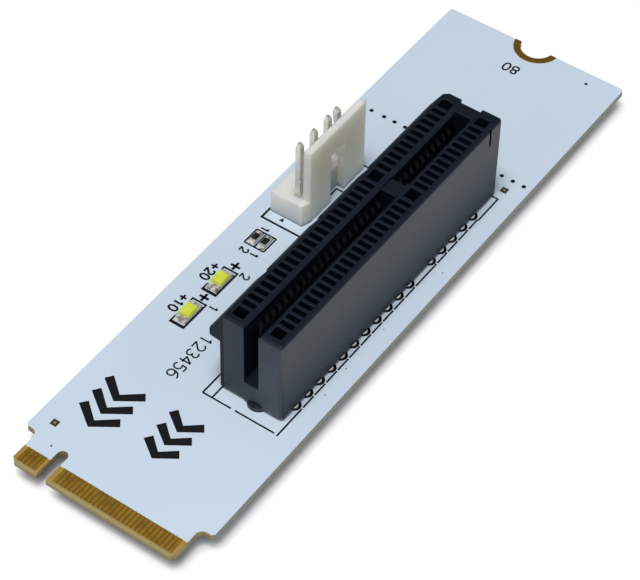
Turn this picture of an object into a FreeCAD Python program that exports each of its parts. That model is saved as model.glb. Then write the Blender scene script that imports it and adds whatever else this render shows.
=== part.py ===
import FreeCAD, Part
import math
import os

# Riser card: a tongue-edged circuit board that carries an expansion slot, a power header, two lamps and two
# resistors. Millimetres. +X runs from the tongue to the screw notch, +Y to the header side and +Z up. The
# origin is on the surface that the soldered tails stand on, under the middle of the board.

# Circuit board
card_length = 80.0
card_width = 23.0
card_thickness = 0.8
card_corner_chamfer = 0.25
tail_protrusion = 1.5
copper_thickness = 0.04

# Plug-in tongue and its gold fingers
tongue_width = 19.85
tongue_length = 4.2
tongue_corner_chamfer = 0.45
shoulder_radius = 0.8
tip_bevel_length = 0.25
tip_bevel_depth = 0.12
key_offset = 6.125
key_width = 1.2
key_depth = 3.85
finger_pitch = 0.5
finger_width = 0.35
finger_inset = 0.08
finger_zone_top = 2.2
finger_zone_bottom = 2.7
fingers_before_key = 29
fingers_lost_at_key = 4
fingers_after_key_top = 5
fingers_after_key_bottom = 4

# Half-round screw notch with its plated pad
notch_diameter = 3.9
notch_overhang = 0.3
notch_plating = 0.05
screw_pad_diameter = 5.5

# Bare test pads, placed from the tongue tip and the middle line
test_pad_size = 0.76
test_pad_near = (6.0, 9.3)
test_pad_far = (58.9, -9.15)

# Expansion slot housing
slot_middle_y = -4.88
slot_position_one = 54.93
slot_height = 11.0
contact_pitch = 1.0
contacts_far = 11
contacts_near = 21
contact_step_at_key = 3.0
slot_far_margin = 2.98
slot_near_margin = 2.85
channel_width = 1.85
channel_floor = 2.95
channel_far_wall = 1.9
channel_lead_in = 0.3
channel_wall = 0.525
cell_depth = 1.6
cell_width = 0.65
outer_wall = 0.75
window_floor_step = 0.65
window_lintel = 1.1
rib_width = 1.85
rib_drop = 0.4
pocket_length = 1.27
key_pocket_length = 1.5
pocket_margin = 0.1
pocket_depth = 2.5
pocket_gap = 0.38
chamber_height = 1.5
standoff = 0.4
foot_length = 1.3
foot_inset = 0.45
key_foot_length = 2.2
end_recess_width = 2.6
end_recess_depth = 0.45
upright_edge_radius = 0.45
wall_draft = 0.12
rim_radius = 0.3
rim_facets = 3
near_edge_chamfer = 0.3
near_face_step = 0.1
far_corner_cut = 0.45
groove_width = 0.36
groove_depth = 0.35
groove_height = 2.2
groove_offset = 0.85

# Retaining ridge along the slot's header side
ridge_reach = 1.25
ridge_setback = 0.43
ridge_slope_drop = 2.7
ridge_face_height = 1.1
ridge_under_slope = 0.15
ridge_edge_cut = 0.15
ridge_gap_length = 1.75
ridge_gap_first = 8.57
ridge_gap_pitch = 8.8
ridge_gap_count = 3

# Locating pegs under the slot
peg_diameter = 2.3
peg_hole_clearance = 0.05
peg_spacing = 23.65
near_peg_offset = -0.44
peg_protrusion = 1.2
peg_chamfer = 0.4
peg_web_height = 1.2

# Slot contacts: folded strips
contact_thickness = 0.2
contact_width = 0.45
contact_reach = 0.32
contact_apex_drop = 2.4
contact_tip_drop = 1.4
contact_tip_back = 0.7
contact_root_height = 1.25
tail_spread = 1.0
tail_top = 0.7
tail_hole = 0.75
chamber_clearance = 0.1

# Solder joints under the board
slot_solder_base = 1.1
header_solder_base = 1.9
solder_height = 0.9

# Power header
header_near_x = 41.68
header_face_y = 4.85
header_pins = 4
header_pitch = 2.5
header_near_margin = 1.45
header_far_margin = 2.0
header_width = 4.4
header_base_height = 3.0
header_wall_height = 10.1
header_wall_thickness = 0.93
header_wall_setback = 1.0
header_corner_cut = 0.35
header_edge_chamfer = 0.25
header_window_width = 2.5
header_window_offset = 0.5
header_window_height = 6.9
header_pin_row = 1.75
pin_side = 0.64
pin_height = 10.4
pin_tip_length = 0.45
pin_tip_side = 0.36
pin_hole_clearance = 0.02
pin_board_hole = 1.0
bent_pin = 4
bent_pin_lean = 7.3

# Lamps, placed from the tongue tip and the middle line
lamp_places = [(25.04, 7.45), (30.42, 7.45)]
lamp_length = 2.6
lamp_width = 1.4
lamp_base_height = 0.35
lamp_lens_length = 1.65
lamp_lens_height = 0.35
lamp_lens_draft = 0.1
lamp_terminal_length = 0.42

# Resistors
resistor_places = [(37.5, 8.1), (37.5, 6.88)]
resistor_length = 1.6
resistor_width = 0.8
resistor_height = 0.3
resistor_terminal_length = 0.3
resistor_coat_height = 0.04
resistor_coat_margin = 0.04
terminal_thickness = 0.05
fillet_length = 0.25
fillet_height = 0.35

# Levels and places that follow from the sizes above
board_low = tail_protrusion
board_top = board_low + card_thickness
tip_x = -card_length / 2
far_x = card_length / 2
slot_top = board_top + slot_height
channel_half = channel_width / 2
cell_inner = channel_half + channel_wall
cell_outer = cell_inner + cell_depth
slot_half = cell_outer + outer_wall
root_line = cell_inner + cell_depth / 2
tail_outer = root_line + tail_spread
tail_inner = root_line - tail_spread
position_one_x = tip_x + slot_position_one
slot_far_x = position_one_x + slot_far_margin
header_length = header_near_margin + (header_pins - 1) * header_pitch + header_far_margin
header_pin_y = header_face_y + header_pin_row


def contact_xs():
    """Places of the slot's contacts along X, from position one at the far end to the open end."""
    far = [position_one_x - i * contact_pitch for i in range(contacts_far)]
    start = far[-1] - contact_step_at_key
    return far + [start - i * contact_pitch for i in range(contacts_near)]


slot_xs = contact_xs()
slot_near_x = slot_xs[-1] - slot_near_margin
slot_key_x = slot_xs[contacts_far - 1] - contact_step_at_key / 2
header_x = tip_x + header_near_x
header_pin_xs = [header_x + header_near_margin + i * header_pitch for i in range(header_pins)]


def vec(x, y, z):
    return FreeCAD.Vector(x, y, z)


def box(x0, x1, y0, y1, z0, z1):
    """Box between two corners, whichever order each pair is given in."""
    low = vec(min(x0, x1), min(y0, y1), min(z0, z1))
    return Part.makeBox(abs(x1 - x0), abs(y1 - y0), abs(z1 - z0), low)


def prism(points, sweep):
    """Closed polygon of straight edges, carried along a vector."""
    return Part.Face(Part.makePolygon(points + [points[0]])).extrude(sweep)


def across_x(profile, x0, x1):
    """Prism of a (y, z) profile between two places along X."""
    return prism([vec(x0, y, z) for y, z in profile], vec(x1 - x0, 0, 0))


def across_y(profile, y0, y1):
    """Prism of an (x, z) profile between two places along Y."""
    return prism([vec(x, y0, z) for x, z in profile], vec(0, y1 - y0, 0))


def closed(ring):
    return Part.makePolygon(ring + [ring[0]])


def band(low, high):
    """Flat four-cornered faces between two rings that have the same number of corners."""
    quads = [[low[i - 1], low[i], high[i], high[i - 1]] for i in range(len(low))]
    return [Part.Face(closed(quad)) for quad in quads]


def stacked(rings):
    """Solid of flat faces through a stack of rings."""
    faces = [Part.Face(closed(rings[0])), Part.Face(closed(rings[-1]))]
    for low, high in zip(rings, rings[1:]):
        faces.extend(band(low, high))
    return Part.makeSolid(Part.makeShell(faces))


def rectangle_ring(x, y, z, length, width):
    return [vec(x + u * length / 2, y + v * width / 2, z) for u, v in ((-1, -1), (1, -1), (1, 1), (-1, 1))]


def rounded_outline(corners, z):
    """Wire through (x, y, radius) corners, with a tangent arc wherever the radius isn't zero."""
    count = len(corners)
    pieces = []
    starts = []
    ends = []
    for i, (x, y, radius) in enumerate(corners):
        here = vec(x, y, z)
        before = vec(*corners[i - 1][:2], z).sub(here).normalize()
        after = vec(*corners[(i + 1) % count][:2], z).sub(here).normalize()
        half = before.getAngle(after) / 2
        starts.append(here + before * (radius / math.tan(half)))
        ends.append(here + after * (radius / math.tan(half)))
        middle = here + (before + after).normalize() * (radius / math.sin(half) - radius)
        pieces.append(Part.Arc(starts[i], middle, ends[i]).toShape() if radius > 0 else None)
    edges = []
    for i, arc in enumerate(pieces):
        if arc:
            edges.append(arc)
        edges.append(Part.makeLine(ends[i], starts[(i + 1) % count]))
    return Part.Wire(edges)


def square_hole(x, y, side):
    return box(x - side / 2, x + side / 2, y - side / 2, y + side / 2, board_low - 1, board_top + 1)


def peg_places():
    """Middles of the two pegs: under the key, and near the open end, a little off the slot's middle line."""
    return [(slot_key_x, slot_middle_y), (slot_key_x - peg_spacing, slot_middle_y + near_peg_offset)]


def tail_places():
    """Place of every slot tail: (x, y, side, outer). Even positions turn out, odd ones turn in."""
    places = []
    for i, x in enumerate(slot_xs):
        outer = i % 2 == 1
        reach = tail_outer if outer else tail_inner
        places.extend((x, slot_middle_y + side * reach, side, outer) for side in (1, -1))
    return places


def circuit_board():
    half = card_width / 2
    tongue = tongue_width / 2
    shoulder = tip_x + tongue_length
    tip_cut = tongue_corner_chamfer
    cut = card_corner_chamfer
    upper = [
        (tip_x, tongue - tip_cut, 0),
        (tip_x + tip_cut, tongue, 0),
        (shoulder, tongue, shoulder_radius),
        (shoulder, half - cut, 0),
        (shoulder + cut, half, 0),
        (far_x - cut, half, 0),
        (far_x, half - cut, 0),
    ]
    corners = upper + [(x, -y, radius) for x, y, radius in reversed(upper)]
    plate = Part.Face(rounded_outline(corners, board_low)).extrude(vec(0, 0, card_thickness))
    key_radius = key_width / 2
    key_end = tip_x + key_depth - key_radius
    tools = [
        box(tip_x - 1, key_end, key_offset - key_radius, key_offset + key_radius,
            board_low - 1, board_top + 1),
        Part.makeCylinder(key_radius, card_thickness + 2, vec(key_end, key_offset, board_low - 1)),
        Part.makeCylinder(notch_diameter / 2 + notch_plating, card_thickness + 2,
                          vec(far_x + notch_overhang, 0, board_low - 1)),
    ]
    for level, depth in ((board_top, tip_bevel_depth), (board_low, -tip_bevel_depth)):
        wedge = [(tip_x, level), (tip_x + tip_bevel_length, level), (tip_x, level - depth)]
        tools.append(across_y(wedge, -tongue, tongue))
    for x, y in peg_places():
        radius = peg_diameter / 2 + peg_hole_clearance
        tools.append(Part.makeCylinder(radius, card_thickness + 2, vec(x, y, board_low - 1)))
    for x, y, side, outer in tail_places():
        tools.append(square_hole(x, y, tail_hole))
    for x in header_pin_xs:
        tools.append(square_hole(x, header_pin_y, pin_board_hole))
    return plate.cut(tools)


def edge_fingers(first_y, after_key, zone, level):
    """Row of gold fingers on one face of the tongue, left out where the key slot is cut."""
    start = tip_x + tip_bevel_length + finger_inset
    after = fingers_before_key + fingers_lost_at_key
    steps = list(range(fingers_before_key)) + list(range(after, after + after_key))
    pads = []
    for step in steps:
        y = first_y + step * finger_pitch
        pads.append(box(start, tip_x + zone, y - finger_width / 2, y + finger_width / 2,
                        level, level + copper_thickness))
    return Part.makeCompound(pads)


def edge_fingers_top():
    span = fingers_before_key + fingers_lost_at_key + fingers_after_key_top - 1
    return edge_fingers(-span * finger_pitch / 2, fingers_after_key_top, finger_zone_top, board_top)


def edge_fingers_bottom():
    span = fingers_before_key + fingers_lost_at_key + fingers_after_key_bottom - 1
    return edge_fingers(-span * finger_pitch / 2, fingers_after_key_bottom, finger_zone_bottom,
                        board_low - copper_thickness)


def screw_pad():
    """Plated half hole: a sleeve in the notch and a half ring on each face, turned about the notch's axis."""
    inner = notch_diameter / 2
    sleeve = inner + notch_plating
    rim = screw_pad_diameter / 2
    low = board_low - copper_thickness
    high = board_top + copper_thickness
    profile = [(inner, low), (rim, low), (rim, board_low), (sleeve, board_low),
               (sleeve, board_top), (rim, board_top), (rim, high), (inner, high)]
    axis_x = far_x + notch_overhang
    points = [vec(axis_x + r, 0, z) for r, z in profile]
    ring = Part.Face(Part.makePolygon(points + [points[0]])).revolve(vec(axis_x, 0, 0), vec(0, 0, 1), 360)
    return ring.common(box(far_x - screw_pad_diameter, far_x, -rim - 1, rim + 1, low - 1, high + 1))


def test_pad(place):
    x, y = tip_x + place[0], place[1]
    half = test_pad_size / 2
    return box(x - half, x + half, y - half, y + half, board_top, board_top + copper_thickness)


def rim_points():
    """Points of the rounded rim between the top and the outer long wall, as (y, z)."""
    edge = slot_middle_y - slot_half + wall_draft
    turns = [math.radians(90 * i / rim_facets) for i in range(rim_facets + 1)]
    return [(edge + rim_radius * (1 - math.sin(a)), slot_top - rim_radius * (1 - math.cos(a))) for a in turns]


def ridge_profile():
    """Hook of the ridge as (y, z): sloped top, short upright face and a nearly level underside."""
    wall = slot_middle_y + slot_half
    outer = wall + ridge_reach
    face_top = slot_top - ridge_slope_drop
    face_low = face_top - ridge_face_height
    cut = ridge_edge_cut
    inward = cut * (ridge_setback + ridge_reach) / ridge_slope_drop
    return [
        (wall - ridge_setback, slot_top),
        (outer - inward, face_top + cut),
        (outer, face_top - cut),
        (outer, face_low + cut),
        (outer - cut, face_low - ridge_under_slope * cut / ridge_reach),
        (wall, face_low - ridge_under_slope),
        (wall - ridge_setback, face_low - ridge_under_slope),
    ]


def slot_body():
    """Outer form: a block with a drafted outer wall, and a hooked ridge with gaps on the +Y side."""
    right = slot_middle_y - slot_half
    wall = slot_middle_y + slot_half
    slope_fall = ridge_slope_drop * ridge_setback / (ridge_setback + ridge_reach)
    block = across_x([
        (right, board_top),
        (wall, board_top),
        (wall, slot_top - slope_fall),
        (wall - ridge_setback, slot_top),
    ] + rim_points(), slot_near_x, slot_far_x)
    radius = upright_edge_radius
    plan = rounded_outline([(slot_near_x, right, radius), (slot_far_x, right, radius),
                            (slot_far_x, wall + 1, 0), (slot_near_x, wall + 1, 0)], board_top - 1)
    block = block.common(Part.Face(plan).extrude(vec(0, 0, slot_height + 2)))
    starts = [slot_near_x]
    ends = []
    for i in range(ridge_gap_count):
        middle = slot_near_x + ridge_gap_first + i * ridge_gap_pitch
        ends.append(middle - ridge_gap_length / 2)
        starts.append(middle + ridge_gap_length / 2)
    ends.append(slot_far_x)
    return block.fuse([across_x(ridge_profile(), a, b) for a, b in zip(starts, ends)])


def slot_channels():
    """Card channel, open at the near end and parted by the key rib, with flared lips."""
    lip = channel_half + channel_lead_in
    floor = board_top + channel_floor
    above = slot_top + 1
    profile = [(-channel_half, floor), (channel_half, floor), (channel_half, slot_top - channel_lead_in),
               (lip, slot_top), (lip, above), (-lip, above), (-lip, slot_top),
               (-channel_half, slot_top - channel_lead_in)]
    profile = [(slot_middle_y + y, z) for y, z in profile]
    rib_low = slot_key_x - rib_width / 2
    rib_high = slot_key_x + rib_width / 2
    rib_top = slot_top - rib_drop
    return [
        across_x(profile, slot_near_x - 1, rib_low),
        across_x(profile, rib_high, slot_far_x - channel_far_wall),
        box(rib_low, rib_high, slot_middle_y - channel_half, slot_middle_y + channel_half, rib_top, above),
    ]


def slot_cells():
    """One cell per contact and side: a shaft down to the tail chamber, with a window on the channel."""
    shaft_low = board_top + chamber_height - 0.1
    sill = board_top + channel_floor + window_floor_step
    lintel = slot_top - window_lintel
    inside = channel_half - 0.1
    profile = [(cell_inner, shaft_low), (cell_outer, shaft_low), (cell_outer, slot_top + 1),
               (cell_inner, slot_top + 1), (cell_inner, lintel), (inside, lintel),
               (inside, sill), (cell_inner, sill)]
    cells = []
    for x in slot_xs:
        for side in (1, -1):
            turned = [(slot_middle_y + side * y, z) for y, z in profile]
            cells.append(across_x(turned, x - cell_width / 2, x + cell_width / 2))
    return cells


def slot_pockets():
    """Blind pockets that even out the walls at both ends of the rows and at the key."""
    far = slot_xs[0] + cell_width / 2 + pocket_gap + pocket_length / 2
    near = slot_xs[-1] - cell_width / 2 - pocket_gap - pocket_length / 2
    pockets = []
    for x, length in ((far, pocket_length), (slot_key_x, key_pocket_length), (near, pocket_length)):
        for side in (1, -1):
            pockets.append(box(x - length / 2, x + length / 2,
                               slot_middle_y + side * (cell_inner + pocket_margin),
                               slot_middle_y + side * (cell_outer - pocket_margin),
                               slot_top - pocket_depth, slot_top + 1))
    return pockets


def slot_underside():
    """Tail chambers between the three feet, and the gap that the feet leave under the outer walls."""
    half = tail_outer + contact_thickness / 2 + chamber_clearance
    spans = [
        (slot_near_x + foot_length, slot_key_x - key_foot_length / 2),
        (slot_key_x + key_foot_length / 2, slot_far_x - foot_length),
    ]
    tools = []
    for low, high in spans:
        tools.append(box(low, high, slot_middle_y - half, slot_middle_y + half,
                         board_top - 1, board_top + chamber_height))
    beyond = slot_half + 1
    edges = [
        (slot_near_x - 1, slot_far_x + 1, half, beyond),
        (slot_near_x - 1, slot_far_x + 1, -half, -beyond),
        (slot_near_x - 1, slot_near_x + foot_inset, -beyond, beyond),
        (slot_far_x - foot_inset, slot_far_x + 1, -beyond, beyond),
    ]
    for x0, x1, y0, y1 in edges:
        tools.append(box(x0, x1, slot_middle_y + y0, slot_middle_y + y1, board_top - 1, board_top + standoff))
    return tools


def far_corner_wedge():
    """Wedge that bevels the sloped edge at the ridge's far end."""
    run = ridge_setback + ridge_reach
    length = math.hypot(run, ridge_slope_drop)
    down = vec(0, run / length, -ridge_slope_drop / length)
    inward = vec(0, -ridge_slope_drop / length, -run / length)
    start = vec(slot_far_x, slot_middle_y + slot_half - ridge_setback, slot_top) - down
    corners = [start, start + vec(-far_corner_cut, 0, 0), start + inward * far_corner_cut]
    return prism(corners, down * (length + 1))


def slot_end_cuts():
    """Recess and bevel at the far end, bevel and step at the open end, and the slit in the outer wall."""
    right = slot_middle_y - slot_half
    left = slot_middle_y + slot_half + ridge_reach + 1
    slit_x = slot_xs[0] + groove_offset
    slit_y = right + wall_draft + groove_depth
    bevel = [(slot_near_x, slot_top), (slot_near_x + near_edge_chamfer, slot_top),
             (slot_near_x, slot_top - near_edge_chamfer)]
    return [
        box(slot_far_x - end_recess_depth, slot_far_x + 1, slot_middle_y - end_recess_width / 2,
            slot_middle_y + end_recess_width / 2, board_top - 1, slot_top + 1),
        far_corner_wedge(),
        across_y(bevel, right - 1, left),
        box(slot_near_x - 1, slot_near_x + near_face_step, slot_middle_y + channel_half, left,
            board_top - 1, slot_top + 1),
        box(slit_x - groove_width / 2, slit_x + groove_width / 2, right - 1, slit_y,
            slot_top - groove_height, slot_top + 1),
    ]


def locating_peg(x, y):
    """Round peg from under the housing down through the board, with a tapered end."""
    radius = peg_diameter / 2
    end = board_low - peg_protrusion
    root = board_top + standoff
    shank = Part.makeCylinder(radius, root - end - peg_chamfer, vec(x, y, end + peg_chamfer))
    nose = Part.makeCone(radius - peg_chamfer, radius, peg_chamfer, vec(x, y, end))
    return shank.fuse(nose)


def near_peg_web():
    """Web under the open end that ties the near peg to the near foot, wherever the pegs' spacing puts it."""
    x, y = peg_places()[1]
    radius = peg_diameter / 2
    return box(x, slot_near_x + foot_length, y - radius, y + radius, board_top, board_top + peg_web_height)


def slot_housing():
    cuts = slot_channels() + slot_pockets() + slot_underside() + slot_end_cuts() + slot_cells()
    moulded = slot_body().cut(cuts)
    pegs = [locating_peg(x, y) for x, y in peg_places()]
    return moulded.fuse(pegs + [near_peg_web()]).removeSplitter()


def strip_outline(line, thickness):
    """Both sides of a centre line of (y, z) points, half the thickness away, mitred at the folds."""
    left = []
    right = []
    last = len(line) - 1
    for i, (y, z) in enumerate(line):
        y0, z0 = line[max(i - 1, 0)]
        y1, z1 = line[min(i + 1, last)]
        into = math.atan2(z - z0, y - y0) if i > 0 else math.atan2(z1 - z, y1 - y)
        out = math.atan2(z1 - z, y1 - y) if i < last else into
        turn = math.atan2(math.sin(out - into), math.cos(out - into))
        normal = into + turn / 2 + math.pi / 2
        reach = thickness / 2 / math.cos(turn / 2)
        left.append((y + reach * math.cos(normal), z + reach * math.sin(normal)))
        right.append((y - reach * math.cos(normal), z - reach * math.sin(normal)))
    return left + right[::-1]


def contact_line(outer):
    """Centre line of a contact as (distance from the middle, height): bent tip, spring arm and tail."""
    apex = channel_half - contact_reach + contact_thickness / 2
    tail = tail_outer if outer else tail_inner
    return [
        (apex + contact_tip_back, slot_top - contact_tip_drop),
        (apex, slot_top - contact_apex_drop),
        (root_line, board_top + contact_root_height),
        (tail, board_top + tail_top),
        (tail, board_low - tail_protrusion),
    ]


def slot_contacts(side, outer):
    """All contacts of one side whose tails are in the same row."""
    outline = strip_outline(contact_line(outer), contact_thickness)
    profile = [(slot_middle_y + side * y, z) for y, z in outline]
    half = contact_width / 2
    rows = [x for x, y, s, o in tail_places() if s == side and o == outer]
    return Part.makeCompound([across_x(profile, x - half, x + half) for x in rows])


def solder_joint(x, y, base, length, width):
    """Four-sided skirt of solder that narrows from the board's underside down to the tail's own section."""
    foot = rectangle_ring(x, y, board_low, base, base)
    tail_high = rectangle_ring(x, y, board_low, length, width)
    tail_end = rectangle_ring(x, y, board_low - solder_height, length, width)
    against_board = Part.Face([closed(foot), closed(tail_high)])
    return Part.makeSolid(Part.makeShell([against_board] + band(foot, tail_end) + band(tail_high, tail_end)))


def slot_solder(side):
    places = [(x, y) for x, y, s, o in tail_places() if s == side]
    return Part.makeCompound([solder_joint(x, y, slot_solder_base, contact_width, contact_thickness)
                              for x, y in places])


def header_solder():
    return Part.makeCompound([solder_joint(x, header_pin_y, header_solder_base, pin_side, pin_side)
                              for x in header_pin_xs])


def header_housing():
    """Low base with a tall lock wall on the slot side, a lock window in the wall and square pin holes."""
    x0 = header_x
    x1 = header_x + header_length
    y0 = header_face_y
    y1 = header_face_y + header_width
    corners = [(x0, y0 + header_corner_cut), (x0 + header_wall_setback, y0), (x1, y0), (x1, y1), (x0, y1)]
    base = prism([vec(x, y, board_top) for x, y in corners], vec(0, 0, header_base_height))
    wall = box(x0 + header_wall_setback, x1, y0, y0 + header_wall_thickness, board_top,
               board_top + header_wall_height)
    top = board_top + header_wall_height
    lead = [(y0 + header_wall_thickness, top), (y0 + header_wall_thickness - header_edge_chamfer, top),
            (y0 + header_wall_thickness, top - header_edge_chamfer)]
    middle = (x0 + x1) / 2 + header_window_offset
    tools = [
        box(middle - header_window_width / 2, middle + header_window_width / 2, y0 - 1,
            y0 + header_wall_thickness, board_top - 1, board_top + header_window_height),
        across_x(lead, x0 - 1, x1 + 1),
    ]
    side = pin_side + 2 * pin_hole_clearance
    for x in header_pin_xs:
        tools.append(box(x - side / 2, x + side / 2, header_pin_y - side / 2, header_pin_y + side / 2,
                         board_top - 1, board_top + header_base_height + 1))
    return base.fuse(wall).cut(tools).removeSplitter()


def header_pin(number):
    """Square post with tapered ends. The bent one leans towards the tongue above the header's base."""
    x = header_pin_xs[number - 1]
    y = header_pin_y
    lean = math.tan(math.radians(bent_pin_lean)) if number == bent_pin else 0
    bend = board_top + header_base_height
    shoulder = board_top + pin_height - pin_tip_length
    end = board_top + pin_height
    foot = board_low - tail_protrusion
    levels = [(foot, pin_tip_side), (foot + pin_tip_length, pin_side), (bend, pin_side),
              (shoulder, pin_side), (end, pin_tip_side)]
    return stacked([rectangle_ring(x - lean * max(0, z - bend), y, z, side, side) for z, side in levels])


def end_caps(x, y, length, width, height, reach):
    """Pair of folded metal ends round a chip: each wraps the chip's end from its top to its underside."""
    chip_low = board_top + terminal_thickness
    chip_top = chip_low + height
    cap_top = chip_top + terminal_thickness
    caps = []
    for sign in (-1, 1):
        end = x + sign * length / 2
        inner = end - sign * reach
        fold = end - sign * terminal_thickness
        profile = [(inner, board_top), (end, board_top), (end, cap_top), (inner, cap_top),
                   (inner, chip_top), (fold, chip_top), (fold, chip_low), (inner, chip_low)]
        caps.append(across_y(profile, y - width / 2, y + width / 2))
    return Part.makeCompound(caps)


def chip_body(x, y, length, width, height):
    t = terminal_thickness
    return box(x - length / 2 + t, x + length / 2 - t, y - width / 2, y + width / 2,
               board_top + t, board_top + t + height)


def lamp_base(place):
    return chip_body(tip_x + place[0], place[1], lamp_length, lamp_width, lamp_base_height)


def lamp_lens(place):
    """Moulded lens on the lamp's base, drawn in a little towards its top."""
    x, y = tip_x + place[0], place[1]
    low = board_top + terminal_thickness + lamp_base_height
    draft = 2 * lamp_lens_draft
    return stacked([
        rectangle_ring(x, y, low, lamp_lens_length, lamp_width),
        rectangle_ring(x, y, low + lamp_lens_height, lamp_lens_length - draft, lamp_width - draft),
    ])


def lamp_terminals(place):
    return end_caps(tip_x + place[0], place[1], lamp_length, lamp_width, lamp_base_height,
                    lamp_terminal_length)


def resistor_body(place):
    return chip_body(tip_x + place[0], place[1], resistor_length, resistor_width, resistor_height)


def resistor_coat(place):
    """Dark protective coat on the chip's top, between its two metal ends."""
    x = tip_x + place[0]
    half = resistor_length / 2 - resistor_terminal_length - resistor_coat_margin
    side = resistor_width / 2 - resistor_coat_margin
    low = board_top + terminal_thickness + resistor_height
    return box(x - half, x + half, place[1] - side, place[1] + side, low, low + resistor_coat_height)


def resistor_terminals(place):
    return end_caps(tip_x + place[0], place[1], resistor_length, resistor_width, resistor_height,
                    resistor_terminal_length)


def chip_solder(places, length, width):
    """Wedge of solder at each end of every chip, from the metal end down to the board."""
    wedges = []
    for place in places:
        for sign in (-1, 1):
            end = tip_x + place[0] + sign * length / 2
            toe = end + sign * fillet_length
            profile = [(end, board_top), (toe, board_top), (end, board_top + fillet_height)]
            wedges.append(across_y(profile, place[1] - width / 2, place[1] + width / 2))
    return Part.makeCompound(wedges)


def all_nodes():
    nodes = {
        "circuit_board": circuit_board(),
        "edge_fingers_top": edge_fingers_top(),
        "edge_fingers_bottom": edge_fingers_bottom(),
        "screw_pad": screw_pad(),
        "test_pad_near": test_pad(test_pad_near),
        "test_pad_far": test_pad(test_pad_far),
        "slot_housing": slot_housing(),
        "slot_contacts_left_outer": slot_contacts(1, True),
        "slot_contacts_left_inner": slot_contacts(1, False),
        "slot_contacts_right_outer": slot_contacts(-1, True),
        "slot_contacts_right_inner": slot_contacts(-1, False),
        "slot_solder_left": slot_solder(1),
        "slot_solder_right": slot_solder(-1),
        "header_housing": header_housing(),
        "header_solder": header_solder(),
        "lamp_solder": chip_solder(lamp_places, lamp_length, lamp_width),
        "resistor_solder": chip_solder(resistor_places, resistor_length, resistor_width),
    }
    for number in range(1, header_pins + 1):
        nodes[f"header_pin_{number}"] = header_pin(number)
    for number, place in enumerate(lamp_places, 1):
        nodes[f"lamp_{number}_base"] = lamp_base(place)
        nodes[f"lamp_{number}_lens"] = lamp_lens(place)
        nodes[f"lamp_{number}_terminals"] = lamp_terminals(place)
    for number, place in enumerate(resistor_places, 1):
        nodes[f"resistor_{number}_body"] = resistor_body(place)
        nodes[f"resistor_{number}_coat"] = resistor_coat(place)
        nodes[f"resistor_{number}_terminals"] = resistor_terminals(place)
    return nodes


os.makedirs("parts", exist_ok=True)
for name, shape in all_nodes().items():
    shape.exportStep(f"parts/{name}.step")
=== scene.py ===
"""Looks of the riser card: board, fingers, black slot, ivory header, lamps, resistors, solder and print."""

import bpy
import numpy as np
from mathutils import Matrix, Vector


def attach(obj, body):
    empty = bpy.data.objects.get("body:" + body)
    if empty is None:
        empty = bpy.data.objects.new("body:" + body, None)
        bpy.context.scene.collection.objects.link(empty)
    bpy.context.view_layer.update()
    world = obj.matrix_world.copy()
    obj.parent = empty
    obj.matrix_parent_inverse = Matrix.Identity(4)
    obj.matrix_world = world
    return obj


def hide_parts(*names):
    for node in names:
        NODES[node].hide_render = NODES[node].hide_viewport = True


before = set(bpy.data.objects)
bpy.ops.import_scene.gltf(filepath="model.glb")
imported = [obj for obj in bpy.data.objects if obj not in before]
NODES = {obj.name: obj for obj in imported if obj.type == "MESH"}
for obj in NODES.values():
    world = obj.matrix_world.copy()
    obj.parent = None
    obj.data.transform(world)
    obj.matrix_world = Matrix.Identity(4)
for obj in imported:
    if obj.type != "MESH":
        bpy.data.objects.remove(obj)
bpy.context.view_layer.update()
MM = 0.001

# Sizes of the card in millimetres, in the frame of the solids: x from the middle of the card towards the
# screw notch, y towards the header, z from the surface that the soldered tails stand on.
HALF_LENGTH = 40.0
HALF_WIDTH = 11.5
BOARD_LOW = 1.5
BOARD_TOP = 2.3
MASK_DEPTH = 0.004
LONG_EDGE_DEPTH = 0.2
FINGER_START = 0.33
FINGER_ZONE_TOP = 2.2
FINGER_ZONE_LOW = 2.7
FINGER_SPAN = 9.43
KEY_MIDDLE_Y = 6.0
KEY_MARGIN = 1.07
SLOT_MIDDLE_Y = -4.88
SLOT_END_X = -20.75
SLOT_END_RIGHT_Y = -5.4
SLOT_FIRST_X = 14.93
CONTACTS_FAR = 11
CONTACTS_NEAR = 21
SLOT_KEY_STEP = 3.0
TAIL_OUTER = 3.25
TAIL_INNER = 1.25
RIDGE_Y = -1.5
HEADER_PIN_XS = 3.13 + 2.5 * np.arange(4)
HEADER_PIN_Y = 6.6
HEADER_WALL_Y = 5.78
HEADER_WALL_BLEND = 0.2
TEST_PADS = ((-34.0, 9.3), (18.9, -9.15))
PAD_PALE_REACH = 0.04
PAD_DARK_REACH = 0.18

# The slot's two sides, left and right, as directions along y.
SIDES = (1, -1)

# Solder: profiles as rings of (radius, height), from the lowest up. The cones' heights are in the solids'
# frame, and those of the disc and the bead are above the board's top.
TAIL_CONE = ((0.17, 0.6), (0.2, 0.75), (0.27, 1.0), (0.4, 1.3), (0.55, BOARD_LOW))
PIN_CONE = ((0.42, 0.6), (0.46, 0.8), (0.56, 1.05), (0.74, 1.32), (0.95, BOARD_LOW))
# The dark disc round each bead is painted shade.
SHADE_DISC = ((0.73, 0.0), (0.73, 0.03), (0.3, 0.035), (0.2, 0.05), (0.16, 0.3))
BEAD = ((0.48, 0.03), (0.46, 0.13), (0.39, 0.23), (0.28, 0.25), (0.21, 0.16), (0.18, 0.05))
RIM_SHIFT = 0.3
RIM_REACH = 3.45
BEAD_SHIFT = 0.04

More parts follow.
